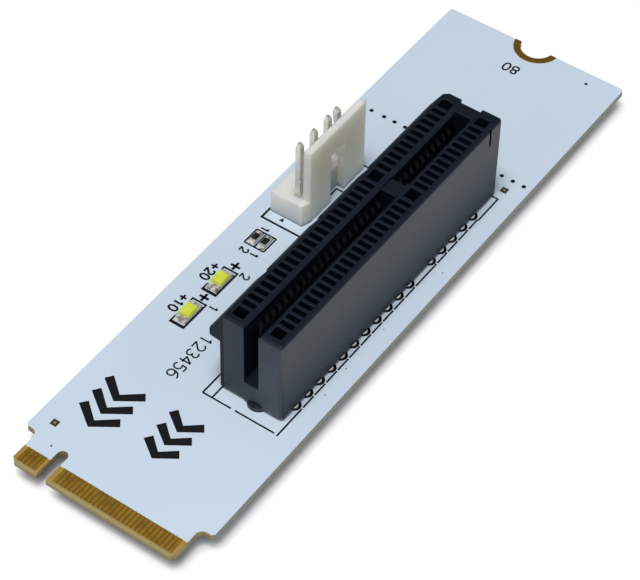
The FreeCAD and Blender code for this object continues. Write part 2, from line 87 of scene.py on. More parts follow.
# Print: places in millimetres from the tongue tip and from the middle line.
PRINT_THICKNESS = 0.012
FINE = 0.2
BOLD = 0.26
OUTLINES = (
    ((17.6, -0.04), (17.6, -3.52), FINE),
    ((17.6, -4.0), (17.6, -8.78), FINE),
    ((17.53, -0.04), (57.4, -0.04), FINE),
    ((17.6, -1.18), (19.8, -1.18), FINE),
    ((53.4, -9.19), (53.7, -9.32), FINE),
    ((53.7, -9.3), (57.45, -9.3), FINE),
    ((57.38, -9.3), (57.38, -8.2), FINE),
    ((40.4, 9.6), (40.4, 3.0), BOLD),
    ((40.4, 9.48), (42.0, 9.48), BOLD),
    ((47.0, 5.46), (48.55, 5.46), FINE),
    ((48.46, 5.46), (48.46, 4.4), FINE),
    ((53.07, 9.48), (53.07, 4.4), FINE),
)
SIDE_LINE_Y = -9.19
SIDE_LINE_START = 17.45
SIDE_LINE_END = 53.5
BREAKS_FROM = 17.9
BREAKS_TO = 53.3
BREAK_SHIFT = 0.14
BREAK_HALF = 0.09
LAMP_FRAMES = ((23.2, 26.95), (28.6, 32.3))
LAMP_FRAME_YS = (6.55, 8.46)
LAMP_RIGHT_LINE_Y = 6.64
LAMP_LEFT_LINE_Y = 8.36
LAMP_INNER_LINE_YS = (6.9, 8.15)
LAMP_INNER_LINE_INSET = 0.34
LAMP_CORNERS = (0.95, 0.4)
LAMP_NEAR_WIDTH = 0.38
LAMP_FAR_WIDTH = 0.24
LAMP_RIGHT_WIDTH = 0.22
LAMP_INNER_WIDTH = 0.14
# Plus signs of a lamp: shift from its far end, y, size and line width.
LAMP_PLUS_SIGNS = ((0.76, 7.47, 1.15, 0.3), (-0.5, 9.2, 0.8, 0.25))
# Frames as low x, high x, low y and high y.
RESISTOR_FRAMES = ((36.4, 38.66, 6.3, 7.53), (36.4, 38.66, 7.53, 8.8))
# Rows of numbers: digits, starting corner, direction, height, line width, and step as a share of the height.
BACK = (-1, 0)
LEFT = (0, 1)
NUMBER_ROWS = (
    ((1, 0), (25.9, 9.7), BACK, 1.05, 0.24, 0.85),
    ((2, 0), (31.25, 9.7), BACK, 1.05, 0.24, 0.85),
    ((1,), (27.35, 6.3), BACK, 1.0, 0.19, 0.85),
    ((2,), (32.75, 6.3), BACK, 1.0, 0.19, 0.85),
    ((2,), (35.75, 8.6), BACK, 0.95, 0.2, 0.85),
    ((1,), (35.75, 7.35), BACK, 0.95, 0.2, 0.85),
    ((1,), (39.4, 8.6), BACK, 0.95, 0.2, 0.85),
    ((1, 2, 3, 4, 5, 6), (23.6, 4.5), BACK, 1.35, 0.18, 0.8),
    ((8, 0), (76.1, -0.35), LEFT, 1.25, 0.22, 0.85),
)
# Rows of arrowheads: the first tip's x and y, and the reach to either side.
ARROW_ROWS = ((8.0, 6.4, 2.3), (8.6, -1.05, 1.9))
ARROWS_PER_ROW = 3
ARROW_STEP = 2.0
ARROW_SLOPE = 0.75
ARROW_WIDTH = 1.0
PIN_ONE_MARK = ((41.05, 7.75), (41.05, 7.15), (41.6, 7.45))
DOT_ROW_X = 60.6
DOT_ROW_YS = (*(-10.55 + 1.397 * np.arange(14)), 9.29, 11.1)
DOT_ROW_RADIUS = 0.25
SINGLE_DOTS = (
    ((78.32, -7.6), 0.19),
    ((3.57, 7.76), 0.11),
    ((24.47, -10.01), 0.07),
    ((28.49, -9.76), 0.07),
    ((35.03, -9.84), 0.07),
    ((45.0, -10.4), 0.07),
)


# Shapes: each is an array of points in millimetres and a list of face arrays, one per number of corners.

def ring_quads(rows, columns):
    """Corner numbers of the quads between rows of points, each row a closed ring of columns points."""
    r, c = np.meshgrid(np.arange(rows - 1), np.arange(columns), indexing="ij")
    here = r * columns
    above = here + columns
    right = (c + 1) % columns
    return np.stack([here + c, here + right, above + right, above + c], -1).reshape(-1, 4)


def lathe(profile, base=0.0, sides=12):
    """Closed solid of revolution about z: each (radius, height) of the profile, from the lowest up, is
    carried round a circle as a ring of points above the base, and a point on the axis closes either end."""
    radii, heights = np.asarray(profile, float).T
    heights = base + heights
    turn = np.linspace(0, 2 * np.pi, sides, endpoint=False)
    circle = np.stack([np.cos(turn), np.sin(turn)], -1)
    levels = np.broadcast_to(heights[:, None, None], (len(radii), sides, 1))
    points = np.concatenate([radii[:, None, None] * circle, levels], -1).reshape(-1, 3)
    ends = np.array([[0, 0, heights[0]], [0, 0, heights[-1]]])
    low = np.arange(sides)
    high = low + (len(radii) - 1) * sides
    pole = np.full(sides, len(points))
    low_fan = np.stack([np.roll(low, -1), low, pole], -1)
    high_fan = np.stack([high, np.roll(high, -1), pole + 1], -1)
    fans = np.concatenate([low_fan, high_fan])
    return np.concatenate([points, ends]), [ring_quads(len(radii), sides), fans]


def plate(outline):
    """Thin printed plate: a counter-clockwise (x, y) outline at two heights, closed by two caps."""
    outline = np.asarray(outline, float)
    count = len(outline)
    levels = [np.column_stack([outline, np.full(count, z)]) for z in (BOARD_TOP, BOARD_TOP + PRINT_THICKNESS)]
    caps = np.stack([np.arange(count)[::-1], np.arange(count, 2 * count)])
    return np.concatenate(levels), [ring_quads(2, count), caps]


def stroke(path, width):
    """Printed stroke: the path's points moved half the width to either side, square to the line through their
    neighbours, and closed into a thin strip of quads."""
    path = np.asarray(path, float)
    along = np.gradient(path, axis=0)
    along /= np.linalg.norm(along, axis=1)[:, None]
    across = np.column_stack([-along[:, 1], along[:, 0]]) * width / 2
    points, faces = plate(np.concatenate([path - across, (path + across)[::-1]]))
    count = len(path)
    rungs = np.arange(count - 1)
    far = 2 * count - 1 - rungs
    low = np.stack([far, far - 1, rungs + 1, rungs], -1)
    return points, [np.concatenate([faces[0], low, low[:, ::-1] + 2 * count])]


def arc(middle, radii, start, end, steps=9):
    """Points of an ellipse's arc: the middle plus each radius times the cosine or sine of even steps between
    two angles in degrees."""
    turn = np.radians(np.linspace(start, end, steps))
    return np.stack([middle[0] + radii[0] * np.cos(turn), middle[1] + radii[1] * np.sin(turn)], -1)


def many(shape, places):
    """The same shape set down at each place: its points plus every offset in one array."""
    points, faces = shape
    places = np.asarray(places, float).reshape(-1, 1, 3)
    starts = (np.arange(len(places)) * len(points))[:, None, None]
    return (points[None] + places).reshape(-1, 3), [(f[None] + starts).reshape(-1, f.shape[1]) for f in faces]


def joined(shapes):
    """Several shapes as one: points stacked, and face corners counted on from the points before."""
    starts = np.cumsum([0] + [len(points) for points, _ in shapes])
    faces = [f + start for start, shape in zip(starts, shapes) for f in shape[1]]
    return np.concatenate([points for points, _ in shapes]), faces


def piece(name, shape, material, replaces=(), smooth=True):
    """Mesh object at the origin from points in millimetres, riding on the card."""
    points, faces = shape
    mesh = bpy.data.meshes.new(name)
    mesh.from_pydata((points * MM).tolist(), [], [corners for f in faces for corners in f.tolist()])
    mesh.polygons.foreach_set("use_smooth", np.full(len(mesh.polygons), smooth))
    mesh.materials.append(material)
    mesh.update()
    obj = bpy.data.objects.new(name, mesh)
    bpy.context.scene.collection.objects.link(obj)
    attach(obj, "root")
    if replaces:
        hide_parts(*replaces)
    return obj


# Finishes

class Sheet:
    """Node tree being written: add() makes a node, and each input is a socket to link or a value to set."""

    def __init__(self, tree):
        self.tree = tree

    def add(self, kind, inputs=None, **settings):
        """New node of a kind with its settings and its inputs by name or number."""
        node = self.tree.nodes.new(kind)
        for key, value in settings.items():
            setattr(node, key, value)
        for key, value in (inputs or {}).items():
            self.fill(node.inputs[key], value)
        return node

    def fill(self, socket, value):
        """Links a socket to another one, or sets its value."""
        if isinstance(value, bpy.types.NodeSocket):
            self.tree.links.new(value, socket)
        else:
            socket.default_value = value

    def math(self, operation, a, b=0.0, c=0.0):
        """Result of one operation on up to three numbers."""
        return self.add("ShaderNodeMath", {0: a, 1: b, 2: c}, operation=operation).outputs[0]

    def mix(self, factor, a, b):
        """Colour between a, at factor 0, and b, at factor 1."""
        node = self.add("ShaderNodeMix", {"Factor": factor}, data_type="RGBA")
        for key, value in (("A", a), ("B", b)):
            self.fill([s for s in node.inputs if s.name == key and s.type == "RGBA"][0], value)
        return [s for s in node.outputs if s.type == "RGBA"][0]

    def ramp(self, value, low, high, out_low=0.0, out_high=1.0):
        """Value carried evenly from the span low to high onto another span, and held at its ends."""
        spans = {"Value": value, "From Min": low, "From Max": high, "To Min": out_low, "To Max": out_high}
        return self.add("ShaderNodeMapRange", spans).outputs["Result"]

    def dot(self, a, b):
        """Dot product of two vectors."""
        return self.add("ShaderNodeVectorMath", {0: a, 1: b}, operation="DOT_PRODUCT").outputs["Value"]

    def place(self):
        """Object coordinates of the point being shaded."""
        return self.add("ShaderNodeTexCoord").outputs["Object"]

    def split(self, vector):
        """The x, y and z of a vector."""
        return self.add("ShaderNodeSeparateXYZ", {"Vector": vector}).outputs

    def link(self, a, b):
        self.tree.links.new(a, b)


def srgb(red, green, blue):
    """Colour as it looks on screen, 0 to 255, turned to the linear value that a socket holds."""
    c = np.array([red, green, blue]) / 255.0
    linear = np.where(c <= 0.04045, c / 12.92, ((c + 0.055) / 1.055) ** 2.4)
    return (*linear.tolist(), 1.0)


# Pairs of colours that a pattern mixes, and the finishes' other values. Lengths here are in metres.
MASK_WHITE = (srgb(197, 212, 229), srgb(204, 218, 235))
# Darker epoxy between the fingers: painted shade.
SHADE_BETWEEN_FINGERS = (srgb(92, 68, 20), srgb(108, 80, 28))
TONGUE_MARGIN = (srgb(150, 120, 48), srgb(166, 136, 62))
# Darker epoxy at the bottom of the cut edges: painted shade.
RESIN_SHADED_BOTTOM = (srgb(108, 98, 62), srgb(122, 112, 76))
RESIN_HIGH = (srgb(147, 130, 77), srgb(161, 144, 91))
# Greyer epoxy of the long cut edges: painted shade.
LONG_EDGE = (srgb(114, 118, 108), srgb(142, 144, 133))
LENS_YELLOW = (srgb(203, 217, 36), srgb(222, 232, 92))
INK_BLACK = (srgb(10, 11, 14), srgb(22, 24, 29))
PAD_PLATE = (srgb(112, 100, 72), srgb(180, 166, 132))
PAD_BORDER = srgb(52, 42, 20)
GRAIN_FINE = 6000.0
GRAIN_BROAD = 300.0
GRAIN_SPAN = (0.3, 0.7)
MOULDED_GRAIN_FINE = 5000.0
MOULDED_GRAIN_HEIGHT = 0.000004
MOULDED_GLOSS_SWING = 0.05
PLATED_GRAIN_HEIGHT = 0.000003
PLATED_PATCH_SPAN = (0.35, 0.65)
BOARD_GRAIN_HEIGHT = 0.000002
BOARD_BROAD = 120.0
WEAVE_SCALE = 900.0
WEAVE_DISTORTION = 2.0
MASK_ROUGHNESS = 0.42
BARE_ROUGHNESS = 0.62
LENS_BROAD = 700.0
LENS_ROUGHNESS = (0.25, 0.35)
LENS_CLOUD = 0.4
LENS_CLOUD_RADIUS = (0.0008, 0.0008, 0.0003)
INK_ROUGHNESS = 0.6
INK_SPECULAR = 0.15
PAD_BROAD = 2500.0
PAD_ROUGHNESS = (0.45, 0.6)
CLOUD_RADIUS = (1.0, 0.85, 0.6)
CLOUD_DEPTH = 0.004
END_SHEEN = 0.3
END_SHEEN_RIGHT = 0.4
END_SHEEN_ROUGHNESS = 0.4


def group(name, inputs, outputs):
    """Empty node group with named number sockets; returns it with its sheet and its two ends."""
    tree = bpy.data.node_groups.new(name, "ShaderNodeTree")
    for key, default in inputs:
        socket = tree.interface.new_socket(name=key, in_out="INPUT", socket_type="NodeSocketFloat")
        socket.default_value = default
    for key, kind in outputs:
        tree.interface.new_socket(name=key, in_out="OUTPUT", socket_type=kind)
    sheet = Sheet(tree)
    return tree, sheet, sheet.add("NodeGroupInput").outputs, sheet.add("NodeGroupOutput").inputs


def make_grain():
    """Fine surface grain: two scales of noise on object coordinates, as a height and as a slow tint."""
    tree, s, given, out = group(
        "surface_grain",
        [("Fine Scale", GRAIN_FINE), ("Broad Scale", GRAIN_BROAD)],
        [("Height", "NodeSocketFloat"), ("Tint", "NodeSocketFloat")])
    place = s.place()
    fine = s.add("ShaderNodeTexNoise", {"Vector": place, "Scale": given["Fine Scale"], "Detail": 3.0})
    broad = s.add("ShaderNodeTexNoise", {"Vector": place, "Scale": given["Broad Scale"], "Detail": 2.0})
    s.link(fine.outputs["Fac"], out["Height"])
    s.link(broad.outputs["Fac"], out["Tint"])
    return tree


def make_soft_edges():
    """Rounded look of an edge: the normal averaged over a small radius, and how far it is turned by that."""
    tree, s, given, out = group(
        "soft_edges",
        [("Radius", 0.0001)],
        [("Normal", "NodeSocketVector"), ("Edge", "NodeSocketFloat")])
    bevel = s.add("ShaderNodeBevel", {"Radius": given["Radius"]}, samples=6).outputs["Normal"]
    flat = s.add("ShaderNodeNewGeometry").outputs["True Normal"]
    s.link(bevel, out["Normal"])
    s.link(s.ramp(s.dot(bevel, flat), 1.0, 0.8), out["Edge"])
    return tree


GRAIN = make_grain()
SOFT_EDGES = make_soft_edges()


def finish(name):
    """New material with its sheet and its surface shader."""
    material = bpy.data.materials.new(name)
    material.use_nodes = True
    sheet = Sheet(material.node_tree)
    return material, sheet, material.node_tree.nodes["Principled BSDF"]


def add_grain(s, fine=GRAIN_FINE, broad=GRAIN_BROAD):
    """The shared grain at a fine and a broad scale."""
    return s.add("ShaderNodeGroup", {"Fine Scale": fine, "Broad Scale": broad}, node_tree=GRAIN).outputs


def add_soft_edges(s, radius):
    """The shared soft edges, set to one radius."""
    return s.add("ShaderNodeGroup", {"Radius": radius}, node_tree=SOFT_EDGES).outputs


def bumped(s, height, distance, **normal):
    """Normal leaned by a height pattern, on the surface's own normal or on the one that is given."""
    return s.add("ShaderNodeBump", {"Height": height, "Distance": distance, **normal}).outputs["Normal"]


def moulded(name, colour, edge_highlight, roughness, edge=0.00012, specular=0.5, tint=(1.0, 1.0, 1.0),
            spread=0.06, cloudy=0.0, matt_past_y=None, thin_wall_glow=None, bright_end=None):
    """Moulded plastic: slightly uneven colour, paler edges that are a painted highlight, fine grain and
    softened corners. A cloudy one lets light in, and its thin wall is paler, painted light for the light
    shining through it;
    past a place along y the surface can be fully matt, and before a place along x the end face can have a
    sheen that is stronger on its right."""
    material, s, surface = finish(name)
    grain = add_grain(s, fine=MOULDED_GRAIN_FINE)
    rim = add_soft_edges(s, edge)
    dark = tuple(c * (1 - spread) for c in colour[:3]) + (1.0,)
    light = tuple(min(1.0, c * (1 + spread)) for c in colour[:3]) + (1.0,)
    body = s.mix(grain["Tint"], dark, light)
    x, y, _ = s.split(s.place())
    # Paler thin wall: painted light, standing in for light shining through the plastic.
    if thin_wall_glow is not None:
        thin = s.ramp(y, HEADER_WALL_Y * MM, (HEADER_WALL_Y - HEADER_WALL_BLEND) * MM)
        body = s.mix(thin, body, thin_wall_glow)
    # Paler edges: a painted highlight along them.
    s.link(s.mix(rim["Edge"], body, edge_highlight), surface.inputs["Base Color"])
    s.link(bumped(s, grain["Height"], MOULDED_GRAIN_HEIGHT, Normal=rim["Normal"]), surface.inputs["Normal"])
    smooth, rough = roughness - MOULDED_GLOSS_SWING, roughness + MOULDED_GLOSS_SWING
    gloss = s.ramp(grain["Height"], *GRAIN_SPAN, smooth, rough)
    if matt_past_y is not None:
        gloss = s.math("MAXIMUM", gloss, s.math("GREATER_THAN", y, matt_past_y * MM))
    s.link(gloss, surface.inputs["Roughness"])
    if bright_end is not None:
        end_x, right_y = bright_end
        right = s.math("LESS_THAN", y, right_y * MM)
        sheen = s.math("MULTIPLY_ADD", right, END_SHEEN_RIGHT, END_SHEEN)
        s.link(s.math("MULTIPLY", s.math("LESS_THAN", x, end_x * MM), sheen), surface.inputs["Coat Weight"])
        surface.inputs["Coat Roughness"].default_value = END_SHEEN_ROUGHNESS
    surface.inputs["Specular IOR Level"].default_value = specular
    surface.inputs["Specular Tint"].default_value = (*tint, 1.0)
    surface.inputs["Subsurface Weight"].default_value = cloudy
    surface.inputs["Subsurface Radius"].default_value = CLOUD_RADIUS
    surface.inputs["Subsurface Scale"].default_value = CLOUD_DEPTH
    return material


def plated(name, colour, dull, roughness, broad=900.0, edge=0.00005, metallic=1.0):
    """Plated metal: bright and dull patches, fine scuffs and softened corners."""
    material, s, surface = finish(name)
    grain = add_grain(s, broad=broad)
    rim = add_soft_edges(s, edge)
    s.link(s.mix(s.ramp(grain["Tint"], *PLATED_PATCH_SPAN), colour, dull), surface.inputs["Base Color"])
    s.link(bumped(s, grain["Height"], PLATED_GRAIN_HEIGHT, Normal=rim["Normal"]), surface.inputs["Normal"])
    gloss = s.ramp(grain["Tint"], *GRAIN_SPAN, roughness - 0.06, roughness + 0.08)
    s.link(gloss, surface.inputs["Roughness"])
    surface.inputs["Metallic"].default_value = metallic
    return material


def board_finish():
    """White solder mask on both faces. The cut edges, the gaps between the fingers, the tongue's margins and
    the narrow strip at its tip are bare glass epoxy. The edges are lighter towards the top and greyer on the
    two long sides, and the epoxy between the fingers is darker: all three are painted shade."""
    material, s, surface = finish("white_board")
    place = s.place()
    x, y, z = s.split(place)
    grain = add_grain(s, broad=BOARD_BROAD)
    middle = (BOARD_LOW + BOARD_TOP) / 2 * MM
    inside = s.math("COMPARE", z, middle, ((BOARD_TOP - BOARD_LOW) / 2 - MASK_DEPTH) * MM)
    zone = s.math("MULTIPLY_ADD", s.math("GREATER_THAN", z, middle), (FINGER_ZONE_TOP - FINGER_ZONE_LOW) * MM,
                  (FINGER_ZONE_LOW - HALF_LENGTH) * MM)
    tongue = s.math("LESS_THAN", x, zone)
    bare = s.math("MAXIMUM", inside, tongue)
    mask = s.mix(grain["Tint"], *MASK_WHITE)
    wave = {"Vector": place, "Scale": WEAVE_SCALE, "Distortion": WEAVE_DISTORTION}
    weave = s.add("ShaderNodeTexWave", wave).outputs["Fac"]
    tip = s.math("LESS_THAN", x, (FINGER_START - HALF_LENGTH) * MM)
    off_middle = s.math("ABSOLUTE", y)
    past_fingers = s.math("GREATER_THAN", off_middle, FINGER_SPAN * MM)
    beside_key = s.math("COMPARE", y, KEY_MIDDLE_Y * MM, KEY_MARGIN * MM)
    margin = s.math("MAXIMUM", past_fingers, beside_key)
    # Epoxy between the fingers darker than at the margins: painted shade.
    between = s.mix(margin, s.mix(weave, *SHADE_BETWEEN_FINGERS), s.mix(weave, *TONGUE_MARGIN))
    # Epoxy lighter towards the top: painted shade on the lower part of the cut edges.
    high = s.ramp(z, BOARD_LOW * MM, BOARD_TOP * MM)
    resin = s.mix(high, s.mix(weave, *RESIN_SHADED_BOTTOM), s.mix(weave, *RESIN_HIGH))
    # Greyer long sides: painted shade.
    long_side = s.math("GREATER_THAN", off_middle, (HALF_WIDTH - LONG_EDGE_DEPTH) * MM)
    edge = s.mix(long_side, resin, s.mix(weave, *LONG_EDGE))
    face = s.mix(tongue, mask, s.mix(tip, between, resin))
    s.link(s.mix(inside, face, edge), surface.inputs["Base Color"])
    s.link(s.ramp(bare, 0.0, 1.0, MASK_ROUGHNESS, BARE_ROUGHNESS), surface.inputs["Roughness"])
    s.link(bumped(s, grain["Height"], BOARD_GRAIN_HEIGHT), surface.inputs["Normal"])
    return material


def lens_finish():
    """Cloudy yellow resin: a deeper and a paler yellow mixed by slow noise."""
    material, s, surface = finish("lamp_resin")
    grain = add_grain(s, broad=LENS_BROAD)
    s.link(s.mix(grain["Tint"], *LENS_YELLOW), surface.inputs["Base Color"])
    s.link(s.ramp(grain["Tint"], *GRAIN_SPAN, *LENS_ROUGHNESS), surface.inputs["Roughness"])
    surface.inputs["Subsurface Weight"].default_value = LENS_CLOUD
    surface.inputs["Subsurface Radius"].default_value = LENS_CLOUD_RADIUS
    return material


def ink_finish():
    """Black marking ink: dense, a little uneven."""
    material, s, surface = finish("marking_ink")
    grain = add_grain(s)
    s.link(s.mix(grain["Height"], *INK_BLACK), surface.inputs["Base Color"])
    surface.inputs["Roughness"].default_value = INK_ROUGHNESS
    surface.inputs["Specular IOR Level"].default_value = INK_SPECULAR
    return material


def pad_finish():
    """Small bare pads: pale plate in the middle and a dark border, by how far x or y is from the middle
    of the nearer pad."""
    material, s, surface = finish("bare_pad")
    x, y, _ = s.split(s.place())
    grain = add_grain(s, broad=PAD_BROAD)
    reach = []
    for pad_x, pad_y in TEST_PADS:
        away_x = s.math("ABSOLUTE", s.math("SUBTRACT", x, pad_x * MM))
        away_y = s.math("ABSOLUTE", s.math("SUBTRACT", y, pad_y * MM))
        reach.append(s.math("MAXIMUM", away_x, away_y))
    border = s.ramp(s.math("MINIMUM", reach[0], reach[1]), PAD_PALE_REACH * MM, PAD_DARK_REACH * MM)
    s.link(s.mix(border, s.mix(grain["Tint"], *PAD_PLATE), PAD_BORDER), surface.inputs["Base Color"])
    s.link(s.ramp(grain["Tint"], *GRAIN_SPAN, *PAD_ROUGHNESS), surface.inputs["Roughness"])
    return material


WHITE_BOARD = board_finish()
GOLD = plated("finger_gold", srgb(180, 142, 48), srgb(146, 112, 32), 0.55)
BRONZE = plated("pad_bronze", srgb(172, 138, 66), srgb(144, 112, 52), 0.5)
BARE_PAD = pad_finish()
CONTACT = plated("contact_gold", srgb(84, 86, 95), srgb(64, 67, 76), 0.5)
SOLDER = plated("solder", srgb(246, 245, 242), srgb(222, 221, 220), 0.25, metallic=0.6)
# Dark metal of the discs round the solder rims: painted shade.
PAINTED_SHADE_UNDER_SOLDER = plated("painted_shade_under_solder", srgb(34, 34, 38), srgb(18, 18, 22), 0.4)
CHIP_TIN = plated("chip_tin", srgb(252, 250, 246), srgb(124, 120, 116), 0.45, broad=2600.0, metallic=0.6)
TIN = plated("tin", srgb(226, 224, 216), srgb(204, 202, 194), 0.22, edge=0.00016, metallic=0.6)
# The second colour of each moulded finish is the painted highlight of its edges.
SLOT_BLACK = moulded("slot_black", srgb(12, 18, 32), srgb(40, 48, 63), 0.42, edge=0.0001, specular=0.36,
                     tint=(0.72, 0.88, 1.0), spread=0.16, matt_past_y=RIDGE_Y,
                     bright_end=(SLOT_END_X, SLOT_END_RIGHT_Y))
# The header's paler thin wall is painted light.
IVORY = moulded("header_ivory", srgb(228, 226, 220), srgb(234, 232, 226), 0.5, spread=0.02, cloudy=0.9,
                thin_wall_glow=srgb(255, 242, 220))
LAMP_WHITE = moulded("lamp_white", srgb(222, 222, 214), srgb(232, 232, 226), 0.5, edge=0.00004, spread=0.03)
CERAMIC = moulded("ceramic", srgb(224, 224, 218), srgb(232, 232, 228), 0.5, edge=0.00003, spread=0.03)
GLAZE = moulded("resistor_black", srgb(16, 17, 20), srgb(44, 46, 50), 0.4, edge=0.00003, spread=0.1)
LENS = lens_finish()
INK = ink_finish()

NODE_FINISHES = {
    "circuit_board": WHITE_BOARD, "edge_fingers_top": GOLD, "edge_fingers_bottom": GOLD, "screw_pad": BRONZE,
    "test_pad_near": BARE_PAD, "test_pad_far": BARE_PAD, "slot_housing": SLOT_BLACK, "header_housing": IVORY,
    "slot_contacts_left_outer": CONTACT, "slot_contacts_left_inner": CONTACT,
    "slot_contacts_right_outer": CONTACT, "slot_contacts_right_inner": CONTACT,
    "slot_solder_left": SOLDER, "slot_solder_right": SOLDER, "header_solder": SOLDER,
    "lamp_solder": CHIP_TIN, "resistor_solder": CHIP_TIN,
    "header_pin_1": TIN, "header_pin_2": TIN, "header_pin_3": TIN, "header_pin_4": TIN,
    "lamp_1_base": LAMP_WHITE, "lamp_2_base": LAMP_WHITE, "lamp_1_lens": LENS, "lamp_2_lens": LENS,
    "lamp_1_terminals": CHIP_TIN, "lamp_2_terminals": CHIP_TIN,
    "resistor_1_body": CERAMIC, "resistor_2_body": CERAMIC,
    "resistor_1_coat": GLAZE, "resistor_2_coat": GLAZE,
    "resistor_1_terminals": CHIP_TIN, "resistor_2_terminals": CHIP_TIN,
}
for node_name, material in NODE_FINISHES.items():
    NODES[node_name].data.materials.clear()
    NODES[node_name].data.materials.append(material)


# Solder and print

def tail_places(outer_only):
    """Places of the slot's tails, one array for each side: counted from the far end, every second tail
    reaches out and the others in."""
    far = SLOT_FIRST_X - np.arange(CONTACTS_FAR)
    near = far[-1] - SLOT_KEY_STEP - np.arange(CONTACTS_NEAR)
    xs = np.concatenate([far, near])
    outer = np.arange(len(xs)) % 2 == 1
    reach = np.where(outer, TAIL_OUTER, TAIL_INNER)
    if outer_only:
        xs = xs[outer]
        reach = reach[outer]
    return [np.column_stack([xs, SLOT_MIDDLE_Y + side * reach, np.zeros(len(xs))]) for side in SIDES]


def rim_places():
    """Middles of the solder rims on the board's top: the outer tails' places moved out and to the tongue."""
    sides = []
    for side, places in zip(SIDES, tail_places(True)):
        places = places - [RIM_SHIFT, 0, 0]
        places[:, 1] = SLOT_MIDDLE_Y + side * RIM_REACH
        sides.append(places)
    return sides


def solder_pieces():
    """Concave cones of solder under the board round every tail and pin, and on top of it, by the outer tails,
    bright rims with a pit in the middle, each on a dark disc that is painted shade."""
    cone = lathe(TAIL_CONE)
    for name, places in zip(("left", "right"), tail_places(False)):
        piece(f"slot_solder_{name}_smooth", many(cone, places), SOLDER, [f"slot_solder_{name}"])
    count = len(HEADER_PIN_XS)
    pins = np.column_stack([HEADER_PIN_XS, np.full(count, HEADER_PIN_Y), np.zeros(count)])
    piece("header_solder_smooth", many(lathe(PIN_CONE), pins), SOLDER, ["header_solder"])
    rims = rim_places()
    # Dark discs round the rims: painted shade.
    shade = lathe(SHADE_DISC, BOARD_TOP)
    piece("slot_painted_shade_under_solder", many(shade, np.concatenate(rims)), PAINTED_SHADE_UNDER_SOLDER)
    beads = [places - [BEAD_SHIFT, side * BEAD_SHIFT, 0] for side, places in zip(SIDES, rims)]
    piece("slot_solder_rims", many(lathe(BEAD, BOARD_TOP), np.concatenate(beads)), SOLDER)


# Strokes of the plain numbers, each in a box 0.6 wide and 1 high.
DIGITS = {
    0: [arc((0.3, 0.5), (0.3, 0.5), 0, 360, 17)],
    1: [[(0.1, 0.78), (0.33, 1.0)], [(0.33, 1.0), (0.33, 0.0)]],
    2: [np.concatenate([arc((0.3, 0.7), (0.3, 0.3), 170, -35), [(0.0, 0.0)]]), [(0.0, 0.0), (0.62, 0.0)]],
    3: [arc((0.3, 0.745), (0.27, 0.255), 150, -90), arc((0.3, 0.255), (0.3, 0.255), 90, -150)],
    4: [[(0.45, 1.0), (0.0, 0.33)], [(0.0, 0.33), (0.62, 0.33)], [(0.45, 1.0), (0.45, 0.0)]],
    5: [[(0.56, 1.0), (0.1, 1.0)], [(0.1, 1.0), (0.06, 0.55)], arc((0.28, 0.33), (0.3, 0.33), 130, -140)],
    6: [arc((0.6, 0.4), (0.6, 0.6), 95, 175), arc((0.3, 0.3), (0.3, 0.3), 0, 360, 15)],
    8: [arc((0.3, 0.74), (0.25, 0.26), 0, 360, 15), arc((0.3, 0.26), (0.3, 0.26), 0, 360, 15)],
}


def numbers(digits, start, along, height, width, pitch):
    """Row of plain numbers from a starting corner: each digit's box is turned so that its base runs along a
    direction, and the next one starts a share of the height further on."""
    along = np.asarray(along, float)
    up = np.array([-along[1], along[0]])
    shapes = []
    for i, number in enumerate(digits):
        corner = np.asarray(start, float) + along * i * pitch * height
        for path in DIGITS[number]:
            path = np.asarray(path, float) * height
            shapes.append(stroke(corner + path[:, :1] * along + path[:, 1:] * up, width))
    return shapes


def plus_sign(x, y, size, width):
    """Two strokes of one size that cross at a place."""
    half = size / 2
    return [stroke([(x - half, y), (x + half, y)], width), stroke([(x, y - half), (x, y + half)], width)]


def box_lines(x0, x1, y0, y1, width):
    """The four strokes round a rectangle."""
    lines = [((x0, y0), (x0, y1)), ((x1, y0), (x1, y1)), ((x0, y0), (x1, y0)), ((x0, y1), (x1, y1))]
    return [stroke(line, width) for line in lines]


def dot(place, radius):
    """Round plate with twelve sides."""
    return plate(arc(place, (radius, radius), 0, 330, 12))


def side_line():
    """Line along the slot's right side, broken in front of each solder rim."""
    breaks = np.sort(rim_places()[1][:, 0]) + HALF_LENGTH + BREAK_SHIFT
    breaks = breaks[(breaks > BREAKS_FROM) & (breaks < BREAKS_TO)]
    starts = np.concatenate([[SIDE_LINE_START], breaks + BREAK_HALF])
    ends = np.concatenate([breaks - BREAK_HALF, [SIDE_LINE_END]])
    return [stroke([(a, SIDE_LINE_Y), (b, SIDE_LINE_Y)], FINE) for a, b in zip(starts, ends)]


def lamp_marks(x0, x1):
    """Outline round a lamp, heaviest at its near end and open on its left, with a second line inside its far
    end and a plus sign past that end and on its left."""
    low, high = LAMP_FRAME_YS
    inner_low, inner_high = LAMP_INNER_LINE_YS
    inner_x = x1 - LAMP_INNER_LINE_INSET
    near_corner, far_corner = LAMP_CORNERS
    shapes = [
        stroke([(x0, low), (x0, high)], LAMP_NEAR_WIDTH),
        stroke([(x1, low), (x1, high)], LAMP_FAR_WIDTH),
        stroke([(x0, LAMP_RIGHT_LINE_Y), (x1, LAMP_RIGHT_LINE_Y)], LAMP_RIGHT_WIDTH),
        stroke([(inner_x, inner_low), (inner_x, inner_high)], LAMP_INNER_WIDTH),
        stroke([(x0, LAMP_LEFT_LINE_Y), (x0 + near_corner, LAMP_LEFT_LINE_Y)], FINE),
        stroke([(x1 - far_corner, LAMP_LEFT_LINE_Y), (x1, LAMP_LEFT_LINE_Y)], FINE),
    ]
    for shift, y, size, width in LAMP_PLUS_SIGNS:
        shapes += plus_sign(x1 + shift, y, size, width)
    return shapes


def arrow_row(x, y, reach):
    """Arrowheads in a row that point to the tongue: each a stroke from one side over its tip to the other."""
    tips = x + ARROW_STEP * np.arange(ARROWS_PER_ROW)
    back = ARROW_SLOPE * reach
    return [stroke([(tip + back, y - reach), (tip, y), (tip + back, y + reach)], ARROW_WIDTH) for tip in tips]


